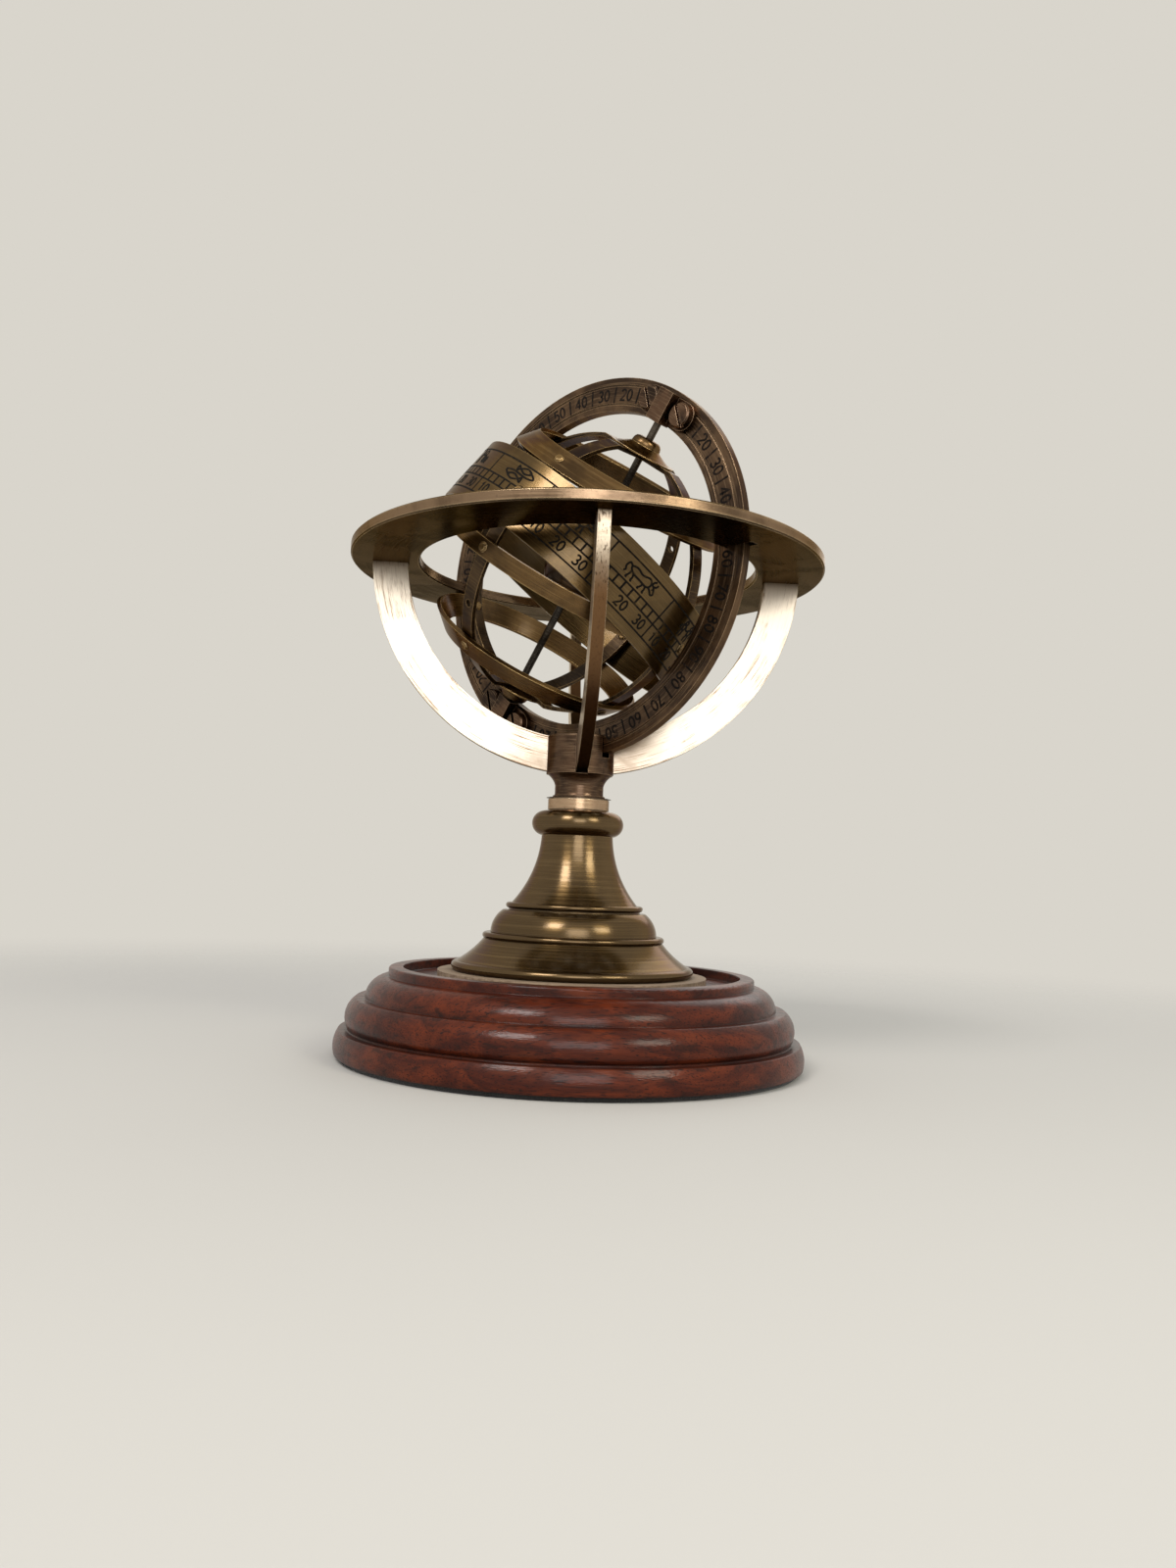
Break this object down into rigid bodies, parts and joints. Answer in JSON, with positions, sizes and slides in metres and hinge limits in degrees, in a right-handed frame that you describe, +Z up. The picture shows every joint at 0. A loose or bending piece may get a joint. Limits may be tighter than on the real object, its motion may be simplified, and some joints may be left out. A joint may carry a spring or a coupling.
{
  "type": "armillary sphere",
  "caption": "Desk armillary sphere: a cage of bands turns on a polar rod in a sliding meridian ring, held by a horizon ring, cradle arms and a turned pedestal on a wooden base.",
  "frame": {"origin": "centre of the underside of the base", "axes": "+Z up, -Y towards the viewer, +X to the viewer's right"},
  "size_m": [0.1016, 0.1016, 0.1469],
  "materials": {
    "black_felt": "matt short-pile felt",
    "rosewood": "glossy varnish over red-brown streaked grain",
    "pale_wood": "bare, unvarnished, matt",
    "steel": "dull, drawn",
    "olive_brass": "lathe-turned, semi-gloss",
    "bright_brass": "polished",
    "dark_brass": "brown antique patina, satin",
    "worn_brass": "patina worn through to pale metal",
    "aged_brass": "antique patina, semi-gloss",
    "zodiac_brass": "golden-olive with blackened engraving",
    "ball_bronze": "dark brown bronze, semi-gloss"
  },
  "bodies": {
    "stand": {"felt_pad": "black_felt", "wooden_base": "rosewood", "seat_disc": "pale_wood", "base_washer": "steel", "base_nut": "steel", "tie_rod": "steel", "pedestal_foot": "olive_brass", "pedestal_stem": "olive_brass", "collar": "bright_brass", "hub": "dark_brass", "cradle_arm_front": "worn_brass", "cradle_arm_right": "worn_brass", "cradle_arm_back": "worn_brass", "cradle_arm_left": "worn_brass", "horizon_ring": "aged_brass"},
    "meridian": {"meridian_ring": "dark_brass", "north_clamp": "dark_brass", "south_clamp": "dark_brass", "clamp_screws": "dark_brass", "polar_rod": "steel", "earth_ball": "ball_bronze"},
    "cage": {"solstice_colure": "dark_brass", "equinox_colure": "dark_brass", "equator_ring": "aged_brass", "north_tropic_ring": "aged_brass", "south_tropic_ring": "aged_brass", "zodiac_band": "zodiac_brass", "north_cap": "aged_brass", "south_cap": "aged_brass", "cage_rivets": "bright_brass"}
  },
  "joints": [
    {"name": "meridian_slide", "type": "hinge", "parent": "stand", "child": "meridian", "pos_m": [0, 0, 0.10545], "axis": [0.7071, 0.7071, 0], "range_deg": [-10, 38]},
    {"name": "cage_spin", "type": "hinge", "parent": "meridian", "child": "cage", "pos_m": [-0.00209, -0.0007, 0.10407], "axis": [0.4106, -0.4106, 0.8141], "continuous": true}
  ]
}
